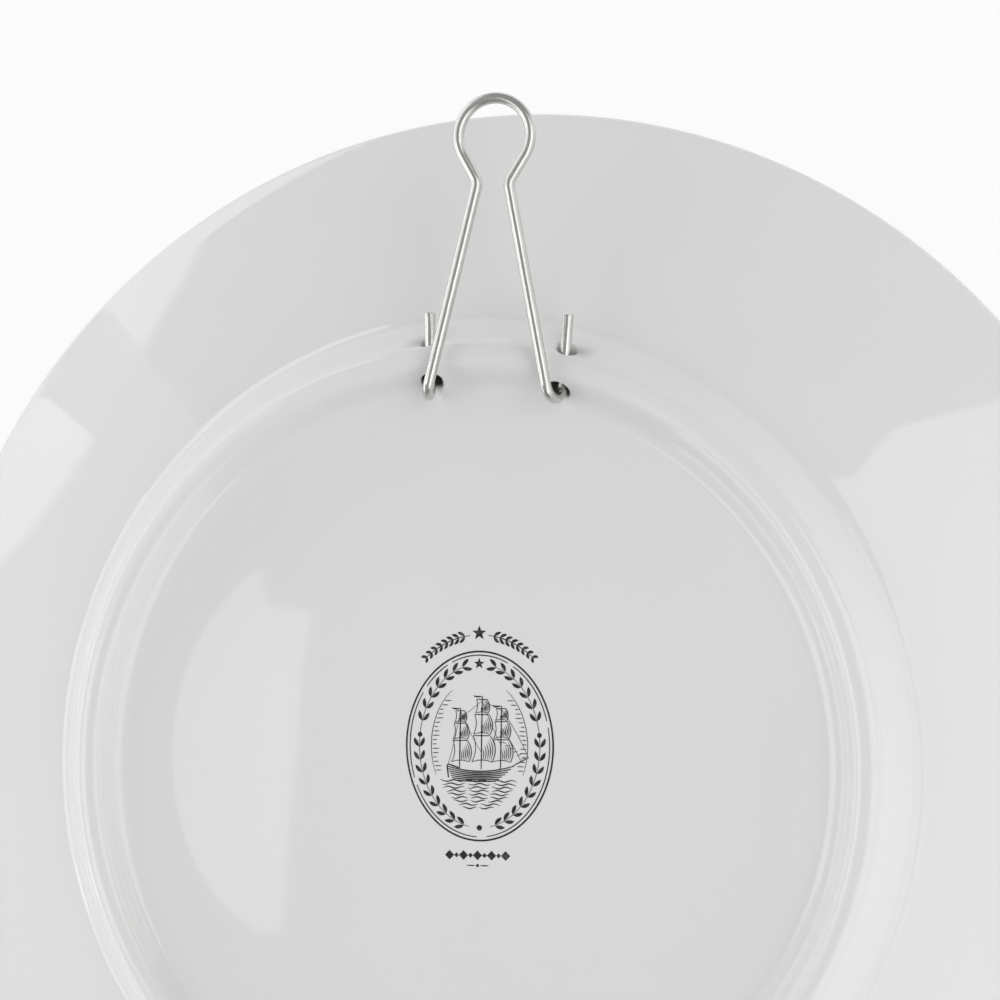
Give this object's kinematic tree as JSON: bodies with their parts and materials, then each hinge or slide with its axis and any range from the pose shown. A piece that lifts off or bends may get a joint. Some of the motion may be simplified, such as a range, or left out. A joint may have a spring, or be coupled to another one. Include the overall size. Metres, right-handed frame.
{
  "type": "souvenir plate",
  "caption": "Round glazed porcelain souvenir plate with a raised foot ring, hung by a bent wire hanger hooked through holes in the ring.",
  "frame": {"origin": "centre of the circle on which the rim stands, with the plate lying face down", "axes": "+Z out of the plate's back, away from the surface it lies on; +Y from the plate's centre towards the hanger; +X across the hanger"},
  "size_m": [0.27, 0.27, 0.0392],
  "materials": {
    "glazed_porcelain": "smooth glossy white glaze",
    "steel_wire": "satin drawn wire",
    "fired_print": "black ceramic print fired into the glaze"
  },
  "bodies": {
    "plate": {"plate": "glazed_porcelain"},
    "hanger": {"wire_hanger": "steel_wire"}
  },
  "joints": [
    {"name": "hanger_tilt", "type": "hinge", "parent": "plate", "child": "hanger", "pos_m": [0, 0.0792, 0.0285], "axis": [1, 0, 0], "range_deg": [-9, 9]}
  ]
}
